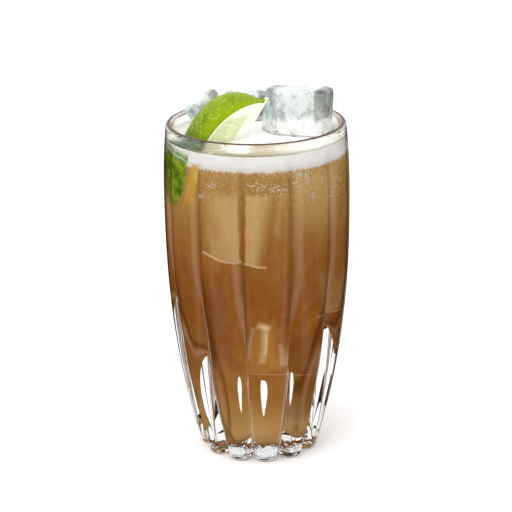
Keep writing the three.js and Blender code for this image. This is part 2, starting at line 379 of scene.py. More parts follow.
class Finish:
    """A material with one Principled shader, and short ways to add nodes to it."""

    def __init__(self, name, **sockets):
        self.material = bpy.data.materials.new(name)
        self.material.use_nodes = True
        self.tree = self.material.node_tree
        self.shader = self.tree.nodes["Principled BSDF"]
        self.set({key.replace("_", " "): value for key, value in sockets.items()})

    def set(self, inputs, node=None):
        node = node or self.shader
        for key, value in inputs.items():
            socket = node.inputs[key]
            if isinstance(value, Value):
                value = value.socket
            if isinstance(value, bpy.types.NodeSocket):
                self.tree.links.new(value, socket)
            elif socket.type == "RGBA" and len(value) == 3:
                socket.default_value = (*value, 1)
            else:
                socket.default_value = value

    def node(self, kind, settings=None, inputs=None):
        node = self.tree.nodes.new(kind)
        for key, value in (settings or {}).items():
            if key == "stops":
                ramp = node.color_ramp.elements
                for i, (place, colour) in enumerate(value):
                    stop = ramp[i] if i < 2 else ramp.new(place)
                    stop.position = place
                    stop.color = (*colour, 1)
            else:
                setattr(node, key, value)
        self.set(inputs or {}, node)
        return node

    def math(self, operation, *values):
        node = self.node("ShaderNodeMath", {"operation": operation}, dict(enumerate(values)))
        return Value(self, node.outputs[0])

    def mix(self, factor, first, second):
        """A colour between two colours."""
        settings = {"data_type": "RGBA"}
        return self.node("ShaderNodeMix", settings, {0: factor, 6: first, 7: second}).outputs[2]

    def millimetres(self):
        """The place on the piece in millimetres, in the frame of the whole object."""
        place = self.node("ShaderNodeTexCoord").outputs["Object"]
        scaled = {"Vector": place, "Scale": (1000, 1000, 1000)}
        return self.node("ShaderNodeMapping", {}, scaled).outputs[0]

    def local(self, place, matrix):
        """A place as seen from a piece that stands at matrix, whose lengths are millimetres."""
        inputs = {
            "Vector": place,
            "Location": matrix.to_translation(),
            "Rotation": matrix.to_euler("XYZ"),
        }
        return self.node("ShaderNodeMapping", {"vector_type": "TEXTURE"}, inputs).outputs[0]

    def stretched(self, place, *scale):
        return self.node("ShaderNodeMapping", {}, {"Vector": place, "Scale": scale}).outputs[0]

    def parts(self, place):
        """X, Y and Z of a vector as values."""
        outputs = self.node("ShaderNodeSeparateXYZ", {}, {0: place}).outputs
        return [Value(self, socket) for socket in outputs]

    def wall_sheet(self, place, waviness):
        """The wall laid flat, with uneven lines: way round it from the front, height, and 1."""
        x, y, z = self.parts(place)
        round_wall = x.math("ARCTAN2", 0 - y) * WALL_REACH
        first = self.noise(place, 4.5, detail=3.0) - 0.5
        second = self.noise(self.stretched(place, 0.8, 1.3, 1.1), 3.6, detail=3.0) - 0.5
        inputs = {0: round_wall + first * waviness, 1: z + second * waviness, 2: 1.0}
        return self.node("ShaderNodeCombineXYZ", {}, inputs).outputs[0]

    def from_line(self, sheet, start, end):
        """Millimetres to the right of a line on the sheet, below 0 to its left."""
        across, up = end[1] - start[1], start[0] - end[0]
        length = math.hypot(across, up)
        line = (across / length, up / length, -(start[0] * across + start[1] * up) / length)
        inputs = {0: sheet, 1: line}
        node = self.node("ShaderNodeVectorMath", {"operation": "DOT_PRODUCT"}, inputs)
        return Value(self, node.outputs["Value"])

    def patch(self, sheet, corners):
        """1 inside clockwise corners on the sheet, faded in over each side's own softness."""
        inside = None
        for (u, z, softness), following in zip(corners, [*corners[1:], corners[0]]):
            share = self.from_line(sheet, (u, z), following[:2]) / softness
            inside = share if inside is None else inside.low(share)
        return inside.ramp(0.0, 1.0)

    def stroke(self, sheet, points, width):
        """1 on a line through points on the sheet, and 0 a width away from it."""
        nearest = None
        for start, end in zip(points, points[1:]):
            away = abs(self.from_line(sheet, start, end))
            along = Vector((end[0] - start[0], end[1] - start[1])).normalized()
            aside = (start[0] - along.y, start[1] + along.x)
            before = self.from_line(sheet, start, aside)
            aside = (end[0] - along.y, end[1] + along.x)
            after = self.from_line(sheet, end, aside)
            reach = away.high(0 - before).high(after)
            nearest = reach if nearest is None else nearest.low(reach)
        return nearest.ramp(width, width * 0.2)

    def noise(self, place, size, detail=2.0, roughness=0.5, distortion=0.0):
        """Cloudy values round 0.5, in lumps of about the given size in millimetres."""
        inputs = {
            "Vector": place, "Scale": 1 / size, "Detail": detail,
            "Roughness": roughness, "Distortion": distortion,
        }
        return Value(self, self.node("ShaderNodeTexNoise", {}, inputs).outputs[0])

    def cells(self, place, size, feature="F1"):
        """Distance from the nearest of many scattered points, in cells."""
        inputs = {"Vector": place, "Scale": 1 / size}
        node = self.node("ShaderNodeTexVoronoi", {"feature": feature}, inputs)
        return Value(self, node.outputs[0])

    def grazing(self):
        """0 where the surface is seen square on, and 1 along its outline."""
        node = self.node("ShaderNodeLayerWeight", {}, {"Blend": 0.5})
        return Value(self, node.outputs["Facing"])

    def mix_in(self, share, inputs):
        """Covers a share of the surface with a second shader of the given inputs."""
        second = self.node("ShaderNodeBsdfPrincipled", {}, inputs)
        shaders = {0: share, 1: self.shader.outputs[0], 2: second.outputs[0]}
        mixed = self.node("ShaderNodeMixShader", {}, shaders)
        self.set({"Surface": mixed.outputs[0]}, self.tree.nodes["Material Output"])

    def bump(self, height, depth, strength):
        """Lets the light see a relief of a given depth in metres."""
        inputs = {"Height": height, "Distance": depth, "Strength": strength}
        self.set({"Normal": self.node("ShaderNodeBump", {}, inputs).outputs[0]})


# Glass

def glass_finish(settings):
    finish = Finish(
        "pressed glass", Base_Color=tuple(settings.tint), Roughness=0.0, IOR=1.5,
        Transmission_Weight=1.0,
    )
    place = finish.millimetres()
    x, y, z = finish.parts(place)
    waves = finish.noise(finish.stretched(place, 1, 1, 0.25), 9, detail=1.0)
    finish.bump(waves, 0.12 * MM, 0.35)
    grazing = finish.grazing()
    # Painted shade: from the foam up to the rim, the glass is tinted greyer where it is seen at a
    # slant.
    shaded_bare_wall = z.ramp(137, 142) * grazing.ramp(0.4, 0.7)
    tint = finish.mix(shaded_bare_wall, tuple(settings.tint), light(206, 203, 188))
    # Painted shade: the glass turns dark brown along its outline.
    tint = finish.mix(grazing.ramp(0.66, 0.88), tint, tuple(settings.edge))
    finish.set({"Base Color": tint})
    # Painted shade: a dark brown ring on the outer top of the lip.
    top, rim = settings.height / MM, settings.rim / MM
    lip = z.ramp(top - 0.5, top - 0.25) * (x * x + y * y).root().ramp(rim - 2.1, rim - 1.6)
    finish.mix_in(lip * 0.92, {
        "Base Color": tuple(settings.edge), "Roughness": 0.3, "Specular IOR Level": 0.1,
    })
    return finish.material


def glass_profile(form):
    """Points from the middle of the foot, up the outside, over the lip and down to the floor."""
    settings = form.settings
    top = settings.height - LIP
    mouth = form.inside(top) + LIP
    round_top = settings.floor + FLOOR_ROUND_HEIGHT
    rounded = [round_top - FLOOR_ROUND_HEIGHT * share ** 0.5 for share in steps(0, 1, 22)]
    return [
        (0, 0),
        *[(radius, 0) for radius in steps(FLAT_RADIUS / 2, FLAT_RADIUS, 2)],
        *arc(form.crest(FOOT_EDGE) - FOOT_EDGE, FOOT_EDGE, FOOT_EDGE, -90, 0, 8),
        *[(form.crest(z), z) for z in steps(FOOT_EDGE, top, 120)[1:]],
        *arc(settings.rim - LIP, top, LIP, 0, 90, 7)[1:],
        *arc(mouth, top, LIP, 100, 180, 7),
        *[(form.inside(z), z) for z in steps(top, round_top, 90)[1:]],
        *[(form.inside(z), z) for z in rounded[1:]],
        (0, settings.floor),
    ]


class COCKTAIL_OT_glass(bpy.types.Operator):
    """Makes the heavy fluted glass"""
    bl_idname = "cocktail.glass"
    bl_label = "Glass"

    def execute(self, context):
        settings = context.scene.cocktail.glass
        form = GlassForm(settings)
        bm = spun(glass_profile(form), settings.lobes * STEPS_IN_LOBE)
        for vert in bm.verts:
            vert.co = form.flute(vert.co)
        glass = piece_from("glass_fluted", bm, glass_finish(settings))
        rides(glass, "clear_glass", "glass")
        return {"FINISHED"}


# Lime

LIME_PLACE = (-9.4, -4.8, 134.1)
LIME_TURN = (8.5, 30, -172.4)
LIME_FULLNESS = 2.7
NUB_LENGTH = 2.4 * MM
NUB_RADIUS = 3.2 * MM
NUB_BLUNTNESS = 12
RIND_DEPTH = 2.2
CORE_WIDTH = 6


def lime_radius(settings, share):
    """Radius of the lime at a share of its half length, from -1 at one tip to 1 at the other."""
    reach = settings.length / 2 + NUB_LENGTH
    along = min(1, abs(share) * reach / (settings.length / 2))
    body = settings.radius ** 2 * (1 - along ** LIME_FULLNESS)
    tip = NUB_RADIUS ** 2 * (1 - min(1, abs(share)) ** NUB_BLUNTNESS)
    return math.sqrt(body + tip)


def lime_coordinates(finish, settings, place):
    """The place in the lime's own frame, its distance from the core and the rind's radius there."""
    local = finish.local(place, placing(LIME_PLACE, LIME_TURN))
    x, y, z = finish.parts(local)
    radius = (x * x + y * y).root()
    half = settings.length / MM / 2
    along = (abs(z) / half).low(1)
    rind = (1 - along ** LIME_FULLNESS + 0.01).root() * (settings.radius / MM)
    return local, x, y, z, radius, rind


def lime_finish(settings):
    finish = Finish(
        "lime", Roughness=0.4, IOR=1.4, Subsurface_Weight=0.15, Subsurface_Scale=1 * MM,
        Subsurface_Radius=(1.0, 1.0, 0.4), Coat_Roughness=0.12, Specular_IOR_Level=0.1,
    )
    place = finish.millimetres()
    local, _, y, z, radius, rind = lime_coordinates(finish, settings, place)
    depth = rind - radius
    wavy = finish.noise(local, 2.6, detail=3.0)
    streaks = finish.noise(finish.stretched(local, 0.5, 0.5, 1.6), 2.2, detail=4.0)
    cells = finish.cells(finish.stretched(local, 0.45, 0.45, 1.3), 1.9)
    pores = finish.cells(local, 1.25)

    patches = finish.noise(local, 7, detail=4.0, roughness=0.65)
    height = finish.parts(place)[2]
    # Painted light mixed with real tone: the rind is lighter higher up and towards the cut, and
    # varies with random patches and its pores.
    near_cut = (abs(y) / radius).ramp(0.15, 0.54)
    painted_light_and_tone = height.ramp(138, 160) * 0.45 + patches * 0.7 + pores.ramp(0.0, 0.6) * 0.35
    painted_light_and_tone = painted_light_and_tone + near_cut * 0.35
    outer = finish.mix(painted_light_and_tone.ramp(0.5, 1.25), tuple(settings.rind_dark), tuple(settings.rind))
    glints = finish.cells(local, 1.5).ramp(0.28, 0.08) * patches.ramp(0.36, 0.58)
    outer = finish.mix(glints * 0.9, outer, light(222, 234, 138))
    pith = finish.mix((depth - 0.5).ramp(1.4, 0.2), tuple(settings.pith), light(230, 244, 112))
    pulp = finish.mix(streaks.ramp(0.3, 0.75), tuple(settings.pulp), light(238, 241, 205))
    pulp = finish.mix(cells.ramp(0.35, 0.75) * 0.35, pulp, light(206, 217, 150))
    core_edge = radius + (wavy - 0.5) * 1.2
    tip_edge = abs(z) + (wavy - 0.5) * 2 + radius * 0.25
    in_pulp = (
        core_edge.ramp(CORE_WIDTH - 0.4, CORE_WIDTH + 0.7)
        * (depth + (wavy - 0.5) * 0.8).ramp(RIND_DEPTH, RIND_DEPTH + 0.8)
        * tip_edge.ramp(23.0, 21.0)
    )
    flesh = finish.mix(in_pulp, pith, pulp)
    on_rind = depth.ramp(0.75, 0.5)
    relief = pores.ramp(0.0, 0.55) * on_rind + streaks * in_pulp * 0.8 + wavy * 0.3
    finish.set({
        "Base Color": finish.mix(on_rind, flesh, outer),
        "Roughness": 0.42 - in_pulp * 0.2,
        "Coat Weight": in_pulp * 0.5,
    })
    finish.bump(relief, 0.25 * MM, 0.8)
    return finish.material


def lime_wedge(settings):
    """A wedge cut from tip to tip: one cut face as a grid, spun about the core to the other."""
    bm = bmesh.new()
    bmesh.ops.create_grid(bm, x_segments=130, y_segments=56, size=1)
    half = settings.opening / 2
    reach = settings.length / 2 + NUB_LENGTH
    for vert in bm.verts:
        share = math.sin(vert.co.x * math.pi / 2)
        radius = (vert.co.y + 1) / 2 * lime_radius(settings, share)
        vert.co = (radius * math.cos(half), -radius * math.sin(half), share * reach)
    bmesh.ops.spin(
        bm, geom=bm.verts[:] + bm.edges[:] + bm.faces[:], cent=(0, 0, 0), axis=(0, 0, 1),
        dvec=(0, 0, 0), angle=settings.opening, steps=64, use_merge=False, use_duplicate=False,
    )
    bmesh.ops.remove_doubles(bm, verts=bm.verts, dist=0.02 * MM)
    bmesh.ops.recalc_face_normals(bm, faces=bm.faces)
    for vert in bm.verts:
        radius = math.hypot(vert.co.x, vert.co.y)
        share = vert.co.z / reach
        rind = lime_radius(settings, share)
        edge = half * radius - abs(math.atan2(vert.co.y, vert.co.x)) * radius
        spot = vert.co / MM
        if radius > 0.98 * rind:
            pits = noise.voronoi(spot / 1.25)[0][0]
            lumps = noise.noise(spot / 9)
            inward = (0.16 * (1 - smooth(pits, 0.0, 0.5)) + 0.35 * max(0, lumps)) * MM
            vert.co -= inward * Vector((vert.co.x, vert.co.y, 0)).normalized()
        elif edge < 0.01 * MM and radius > 0.5 * MM:
            side = math.copysign(1, vert.co.y)
            normal = Vector((-math.sin(half), side * math.cos(half), 0))
            fibres = noise.turbulence(Vector((spot.x / 5, spot.y / 5, spot.z / 1.3)), 3, False)
            flesh = smooth(radius, 3 * MM, 5 * MM) * smooth(rind - radius, 1.2 * MM, 3 * MM)
            vert.co -= normal * (0.12 + 0.45 * fibres) * flesh * MM
    bmesh.ops.transform(bm, matrix=Matrix.Scale(MM, 4) @ placing(LIME_PLACE, LIME_TURN)
                        @ Matrix.Scale(1 / MM, 4), verts=bm.verts)
    return bm


class COCKTAIL_OT_lime(bpy.types.Operator):
    """Makes the lime wedge that leans on the left wall"""
    bl_idname = "cocktail.lime"
    bl_label = "Lime wedge"

    def execute(self, context):
        settings = context.scene.cocktail.lime
        lime = piece_from("lime_fine", lime_wedge(settings), lime_finish(settings))
        rides(lime, "lime", "lime_wedge")
        return {"FINISHED"}


# Ice

ICE = {
    "ice_cube_right": {
        "size": (31, 22, 29.5), "cuts": (8, 3, 6, 4), "edge": 2.2,
        "place": (17.5, 4.4, 146.2), "turn": (-6, 0, -18), "melt": 0.55, "lean": 0.15,
    },
    "ice_cube_back": {
        "size": (20, 13, 24), "cuts": (3, 3, 2.5, 4), "edge": 2,
        "place": (-4.8, 25, 142.4), "turn": (0, 2, 4), "melt": 0.5, "lean": 0.04,
    },
    "ice_cube_left": {
        "size": (17, 11.2, 16), "cuts": (2.5, 3, 3, 2.5), "edge": 1.8,
        "place": (-20.5, 12.9, 148), "turn": (0, -32, 14), "melt": 0.7, "lean": 0.04,
    },
}
CORNERS = ((-1, -1), (1, -1), (1, 1), (-1, 1))
ICE_FACE = 0.42
ICE_DRAWN_IN = 0.1
ICE_ROOM_DRAWN_IN = 0.9


def ice_block(spec, shrink, rounds=3):
    """A block with cut upright corners and rounded edges, in millimetres in its own frame."""
    size = Vector(spec["size"]) - Vector((2 * shrink,) * 3)
    bm = bmesh.new()
    bmesh.ops.create_cube(bm, size=1)
    bmesh.ops.scale(bm, vec=size, verts=bm.verts)
    for (side_x, side_y), cut in zip(CORNERS, spec["cuts"]):
        corner = Vector((side_x * size.x / 2, side_y * size.y / 2, 0))
        upright = min(bm.edges, key=lambda e: ((e.verts[0].co + e.verts[1].co) / 2 - corner).length)
        bmesh.ops.bevel(
            bm, geom=[upright], offset=cut, segments=1, profile=0.5, affect="EDGES", material=-1,
        )
    bmesh.ops.bevel(
        bm, geom=bm.edges[:], offset=spec["edge"] * 0.8, segments=rounds, profile=0.5,
        affect="EDGES", material=-1, clamp_overlap=True,
    )
    return bm


def to_frame(bm, spec):
    """Moves a block from its own frame in millimetres to its place in the object."""
    matrix = Matrix.Scale(MM, 4) @ placing(spec["place"], spec["turn"])
    bmesh.ops.transform(bm, matrix=matrix, verts=bm.verts)
    return bm


def ice_room(name):
    """The space of a cube, drawn in a little, to cut out of what it stands in."""
    block = ice_block(ICE[name], ICE_ROOM_DRAWN_IN, 1)
    return piece_from(name + "_room", to_frame(block, ICE[name]))


def ice_finish(settings, name):
    """Clear wet ice with white milkiness in it, and painted light and shade by the faces of the
    cube: grey at the right, blue-grey at the left, white low down.
    """
    spec = ICE[name]
    finish = Finish(
        "wet ice " + name, Base_Color=tuple(settings.tint), IOR=1.31, Transmission_Weight=1.0,
    )
    place = finish.millimetres()
    x, _, z = finish.parts(finish.local(place, placing(spec["place"], spec["turn"])))
    half = Vector(spec["size"]) / 2
    frost = finish.noise(place, 7, detail=4.0, roughness=0.6)
    wisps = finish.noise(finish.stretched(place, 1, 1, 0.7), 4, detail=5.0, roughness=0.62)
    cracks = finish.cells(place, 9, "DISTANCE_TO_EDGE").ramp(0.04, 0.0) * frost.ramp(0.4, 0.6)
    finish.set({"Roughness": frost.ramp(0.45, 0.75) * 0.3 + 0.04})
    finish.bump(frost, 0.2 * MM, 0.3)

    # Painted light and shade by face: the right face dark grey and darker at the top, the left face
    # pale blue-grey with a blue-grey band beside its edge, the front misty white and lighter at the
    # top, the lower part nearly white; random wisps run through all of them.
    wisps_and_shade = (wisps - z * 0.02).ramp(0.0, 0.6)
    grey = finish.mix(wisps_and_shade, light(56, 62, 60), light(172, 178, 170))
    blue = finish.mix(wisps_and_shade, light(74, 86, 96), light(212, 222, 222))
    misty = (wisps + z * 0.012).ramp(0.36, 0.64)
    white = finish.mix(misty, light(156, 161, 160), light(210, 215, 213))
    ridge = spec["cuts"][0] - half.x
    jagged = x + (frost - 0.5) * 1.6
    colour = finish.mix(jagged.ramp(ridge + 2.6, ridge + 0.4) * 0.7, white, light(140, 156, 166))
    colour = finish.mix(jagged.ramp(ridge, ridge - 0.9), colour, blue)
    colour = finish.mix(jagged.ramp(half.x - 5.5, half.x - 4), colour, grey)
    low = (z + (frost - 0.5) * 5).ramp(4.0, 1.0)
    colour = finish.mix(low * 0.85, colour, light(246, 247, 247))
    colour = finish.mix(cracks * 0.7, colour, light(120, 126, 128))
    height = finish.parts(place)[2]
    stain = height.ramp(146, 143.5) * finish.noise(place, 2.4).ramp(0.6, 0.68)
    colour = finish.mix(stain * 0.7, colour, light(150, 112, 66))
    # Painted shade: a dark line where the ice meets the foam.
    shaded_waterline = abs(height - 143).ramp(0.5, 0.2)
    colour = finish.mix(shaded_waterline * 0.55, colour, light(110, 104, 92))
    # Painted shade: the ice darkens along its outline.
    edge = finish.grazing().ramp(0.84, 1.0) * 0.6
    colour = finish.mix(edge, colour, light(96, 104, 106))
    finish.mix_in(wisps.ramp(0.3, 0.6) * 0.2 + 0.68, {
        "Base Color": colour, "Roughness": 0.3, "IOR": 1.31,
        "Subsurface Weight": 0.3, "Subsurface Radius": (1, 1, 1), "Subsurface Scale": 1 * MM,
    })
    return finish.material


def cloud_finish(settings):
    """Fine bubbles frozen in the middle of a cube, thin enough to see through in places."""
    finish = Finish(
        "frozen bubbles", Base_Color=tuple(settings.cloud), Roughness=0.6, IOR=1.31,
    )
    place = finish.millimetres()
    streaks = finish.noise(place, 3.2, detail=5.0, roughness=0.65, distortion=0.8)
    finish.set({"Alpha": streaks.ramp(0.4, 0.62) * 0.75})
    return finish.material


def ice_piece(settings, name):
    """A melted cube: rounded, dimpled, leaning in at the left, and nowhere outside its solid."""
    spec = ICE[name]
    block = ice_block(spec, ICE_DRAWN_IN)
    cube = piece_from(name + "_melted", block, ice_finish(settings, name))
    remesh = cube.modifiers.new("Even faces", "REMESH")
    remesh.mode = "VOXEL"
    remesh.voxel_size = ICE_FACE
    settle(cube)
    bm = bmesh.new()
    bm.from_mesh(cube.data)
    bm.normal_update()
    seed = Vector(spec["place"])
    moves = []
    for vert in bm.verts:
        dents = max(0, noise.noise((vert.co + seed) / 11) + 0.15)
        ripple = noise.turbulence((vert.co + seed) / 5, 2, False)
        moves.append(vert.co - vert.normal * spec["melt"] * (dents * 1.2 + ripple * 0.1))
    for vert, place in zip(bm.verts, moves):
        risen = smooth(place.z, -2, spec["size"][2] / 2)
        vert.co = (place.x * (1 - spec["lean"] * risen * (place.x < 0)), place.y, place.z)
    to_frame(bm, spec)
    bm.to_mesh(cube.data)
    bm.free()
    return cube


def ice_cloud(settings, name):
    """The frozen bubbles inside a cube: a crumpled lump with its long side up."""
    spec = ICE[name]
    bm = bmesh.new()
    bmesh.ops.create_icosphere(bm, subdivisions=5, radius=1)
    size = Vector(spec["size"])
    for vert in bm.verts:
        crumple = 0.75 + 0.45 * noise.turbulence(vert.co * 2 + size, 3, False)
        vert.co = Vector(a * b for a, b in zip(vert.co * crumple, size * 0.3))
    return piece_from(name + "_cloud", to_frame(bm, spec), cloud_finish(settings))


class COCKTAIL_OT_ice(bpy.types.Operator):
    """Makes the ice cubes that stand out of the foam"""
    bl_idname = "cocktail.ice"
    bl_label = "Ice cubes"

    def execute(self, context):
        settings = context.scene.cocktail.ice
        for name in ICE:
            rides(ice_piece(settings, name), "clear_ice", name)
            rides(ice_cloud(settings, name), "clear_ice")
        return {"FINISHED"}


# Drink

# Sunken ice, painted golden light and painted shade as they show at the wall: what shows, its
# strength, and clockwise corners on the wall sheet, in millimetres round from the front and up,
# each with the softness of its side.
GOLDEN_LIGHT = light(214, 146, 58)
SHADE = light(122, 66, 24)
VEILS = (
    ("ice", 0.75, ((-25, 128, 6), (-7.7, 129, 0.8), (-7, 97.6, 0.7), (-10, 96.7, 0.7),
                   (-15, 97.2, 0.7), (-19, 98.6, 0.7), (-23.5, 101, 12))),
    ("ice", 0.85, ((-4.7, 128, 3), (7.5, 127, 6), (3, 95.2, 0.7), (-1, 95.4, 0.7),
                   (-5.2, 96.8, 0.8))),
    ("ice", 0.42, ((7, 127.4, 0.8), (12.5, 126, 4), (9, 106, 6), (4, 108, 3))),
    ("ice", 0.6, ((10, 137, 6), (44, 137, 9), (38, 100, 24), (14, 104, 8))),
    ("ice", 0.12, ((-3.4, 71, 6), (11, 70, 2.5), (14.6, 43, 1), (-4.8, 44, 2.5))),
    ("ice", 0.3, ((22, 96, 22), (58, 92, 12), (56, 64.5, 0.7), (41, 67, 0.7), (29, 67.6, 9))),
    ("ice", 0.55, ((66, 122, 9), (97, 119, 7), (93, 90, 1), (70, 94, 7))),
    ("ice", 0.55, ((-92, 112, 9), (-64, 115, 6), (-67, 86, 1), (-90, 83, 9))),
    ("ice", 0.3, ((-62, 74, 5), (-44, 76, 5), (-43, 55, 2), (-60, 52, 5))),
    ("ice", 0.3, ((96, 76, 5), (113, 74, 5), (112, 50, 2), (95, 53, 5))),
    ("golden_light", 0.4, ((-3, 74, 10), (9, 72, 5), (12, 42, 7), (-3, 44, 4))),
    ("golden_light", 0.2, ((22, 74, 10), (34, 76, 6), (32, 12, 9), (18, 12, 8))),
    ("shade", 0.18, ((5.6, 124, 2), (10, 121, 2.2), (5.2, 97, 3), (2.6, 100, 2.2))),
    ("shade", 0.4, ((41, 66.5, 1), (57, 64, 6), (60, 34, 10), (44, 38, 8))),
    ("shade", 0.45, ((13, 64, 8), (44, 64, 8), (46, 14, 8), (16, 14, 6))),
    ("shade", 0.4, ((-28, 92, 16), (-12, 92, 6), (-12, 42, 12), (-27, 42, 3))),
)
# Painted highlights along the edges of sunken ice and streaks of light in the ice: points on the
# sheet, width and strength
ICE_HIGHLIGHTS = (
    (((-22.4, 100), (-18.8, 98.4), (-14.5, 97.3), (-9.5, 96.8), (-7, 97.6)), 0.8, 0.6),
    (((-5.2, 96.9), (-0.8, 95.5), (2.6, 95.1)), 0.7, 0.65),
    (((29, 67.5), (41, 67.2), (54, 64.6)), 0.5, 0.35),
    (((-5.6, 43.9), (17, 41.8)), 0.5, 0.3),
    (((17, 41.8), (42, 38)), 0.4, 0.2),
    (((1, 67.4), (3.8, 66.4)), 2.2, 0.5),
    (((2.6, 66), (3, 56), (2.2, 50)), 2.4, 0.35),
    (((3.4, 63), (3.4, 54)), 1, 0.6),
    (((-2, 66), (-2.5, 50)), 0.9, 0.2),
    (((10, 57), (11, 47)), 1.2, 0.25),
    (((70, 94.3), (93, 90.4)), 0.8, 0.45),
    (((-67, 86.2), (-90, 83.3)), 0.8, 0.45),
)
# Each groove gets painted shade, a dark line on the drink behind it, and a painted reflection, a
# pale band on its side away from the front
GROOVE_SHADE_WIDTH = 1.7
GROOVE_SHADE_UP = 0.12
GROOVE_SHADE_DOWN = 0.5
GROOVE_REFLECTION_ASIDE = 3.5
GROOVE_REFLECTION_WIDTH = 2.2
GROOVE_REFLECTION = 0.24
DRINK_STEPS = 180
BUBBLE_REACH = 37.5


def lime_at_wall(finish, sheet, colour):
    """Adds the green and yellow of the lime where it presses on the wall and shows through."""
    tone = finish.noise(sheet, 3.5, detail=3.0).ramp(0.35, 0.65)
    green = finish.mix(tone, light(78, 118, 16), light(160, 186, 52))
    rind = finish.patch(sheet, (
        (-50, 143, 4), (-29.5, 142, 1.2), (-31.5, 130, 1.2), (-35, 117, 5), (-45, 111, 7),
        (-52, 126, 2.5),
    ))
    # Painted shade: a darker green where the lime's peel is in shadow at the wall.
    dark = finish.patch(sheet, (
        (-54, 143, 3), (-43, 143, 4), (-41, 126, 4), (-43, 108, 7), (-54, 118, 2.5),
    ))
    flesh = finish.patch(sheet, (
        (-29.2, 137.5, 1.2), (-24.4, 137.5, 1.6), (-28, 115, 12), (-37, 108, 2), (-31.5, 128, 1.2),
    ))
    edge = finish.stroke(sheet, ((-25.4, 137), (-26.3, 131)), 1.3)
    colour = finish.mix(rind * 0.95, colour, green)
    colour = finish.mix(dark * 0.6, colour, light(58, 84, 20))
    colour = finish.mix(flesh * 0.9, colour, light(226, 176, 66))
    foam_line = finish.stroke(sheet, ((-52, 140.6), (-40, 138.6), (-28, 137)), 0.9)
    colour = finish.mix(foam_line * 0.6, colour, light(222, 228, 212))
    return finish.mix(edge * 0.5, colour, light(240, 216, 140))


def drink_finish(context):
    settings = context.scene.cocktail.drink
    finish = Finish("cloudy ginger drink", Roughness=0.45, IOR=1.33, Specular_IOR_Level=0.0)
    place = finish.millimetres()
    sheet = finish.wall_sheet(place, WALL_WAVES)
    z = finish.parts(place)[2]
    swirl = finish.noise(finish.stretched(place, 1, 1, 0.45), 22, detail=3.0, distortion=0.5)
    wisps = finish.noise(finish.stretched(place, 1, 1, 0.4), 5, detail=4.0, roughness=0.6)
    height = z + (swirl - 0.5) * 24
    stops = (
        (0.0, tuple(settings.bottom)),
        (0.1, tuple(settings.bottom)),
        (0.24, light(172, 117, 58)),
        (0.42, tuple(settings.middle)),
        (0.58, tuple(settings.middle)),
        (0.74, light(174, 118, 60)),
        (0.88, light(188, 140, 78)),
        (1.0, tuple(settings.top)),
    )
    ramp = finish.node("ShaderNodeValToRGB", {"stops": stops}, {0: height / (settings.level / MM)})
    colour = ramp.outputs[0]
    colour = finish.mix(wisps.ramp(0.4, 0.75) * 0.12, colour, tuple(settings.veil))
    tones = {"ice": tuple(settings.veil), "golden_light": GOLDEN_LIGHT, "shade": SHADE}
    for tone, strength, corners in VEILS:
        veil = finish.patch(sheet, corners) * (wisps * 1.1 + 0.45) * strength
        colour = finish.mix(veil, colour, tones[tone])
    # Painted highlights along the edges of sunken ice and streaks of light in it.
    for points, width, strength in ICE_HIGHLIGHTS:
        line = finish.stroke(sheet, points, width) * (wisps + 0.5) * strength
        colour = finish.mix(line, colour, tuple(settings.ice_edge_highlight))

    lobes = context.scene.cocktail.glass.lobes
    x, y = finish.parts(place)[:2]
    turn = (x.math("ARCTAN2", 0 - y) - LOBE_TURN) * (lobes / math.tau) + 0.5
    from_groove = (turn - turn.math("ROUND")) * (math.tau / lobes * WALL_REACH)
    outward = from_groove * x.math("SIGN")
    # Painted reflection beside each groove, and painted shade along it, stronger lower down.
    groove_reflection = abs(outward - GROOVE_REFLECTION_ASIDE).ramp(GROOVE_REFLECTION_WIDTH, GROOVE_REFLECTION_WIDTH * 0.2)
    line = abs(from_groove).ramp(GROOVE_SHADE_WIDTH, GROOVE_SHADE_WIDTH * 0.2)
    deep = z.ramp(95, 65) * (GROOVE_SHADE_DOWN - GROOVE_SHADE_UP) + GROOVE_SHADE_UP
    colour = finish.mix(groove_reflection * GROOVE_REFLECTION, colour, light(222, 184, 150))
    colour = finish.mix(line * deep, colour, light(92, 44, 6))

    upper = (z + (swirl - 0.5) * 36).ramp(104, 130)
    grain = finish.cells(place, 1.05).ramp(0.34, 0.16) * upper
    dark_grain = finish.cells(finish.stretched(place, 1.1, 1, 0.9), 1.3).ramp(0.3, 0.15) * upper
    colour = finish.mix(dark_grain * 0.35, colour, light(140, 92, 36))
    colour = finish.mix(grain * 0.6, colour, light(232, 200, 138))
    specks = finish.cells(place, 3.1).ramp(0.07, 0.04)
    colour = finish.mix(specks * 0.6, colour, light(226, 190, 130))
    fine = finish.noise(place, 1.1, detail=2.0)
    ragged = z + (fine - 0.5) * 1.4 + (finish.noise(place, 5) - 0.5) * 1.6
    froth = finish.cells(place, 0.9).ramp(0.42, 0.2)
    colour = finish.mix(ragged.ramp(132.6, 136) * froth * 0.8, colour, light(246, 236, 214))
    colour = finish.mix(ragged.ramp(135, 136.8), colour, light(252, 250, 245))
    finish.set({"Base Color": lime_at_wall(finish, sheet, colour)})
    return finish.material


def filling_profile(form, low, high, count):
    """Points up the wall, just inside the glass itself, and close together at both ends."""
    heights = [low, *steps(low + CRISP, high - CRISP, count), high]
    return [(form.inside(z) + INTO_WALL, z) for z in heights]


def drink_body(form, level):
    floor = form.settings.floor
    rounded = [floor + FLOOR_ROUND_HEIGHT * share ** 2 for share in steps(0, 1, 20)]
    profile = [
        (0, floor - INTO_WALL),
        *[(form.inside(z) + INTO_WALL, z - INTO_WALL * (z == floor)) for z in rounded],
        *filling_profile(form, floor + FLOOR_ROUND_HEIGHT, level, 70)[1:],
        (0, level),
    ]
    return spun(profile, DRINK_STEPS)


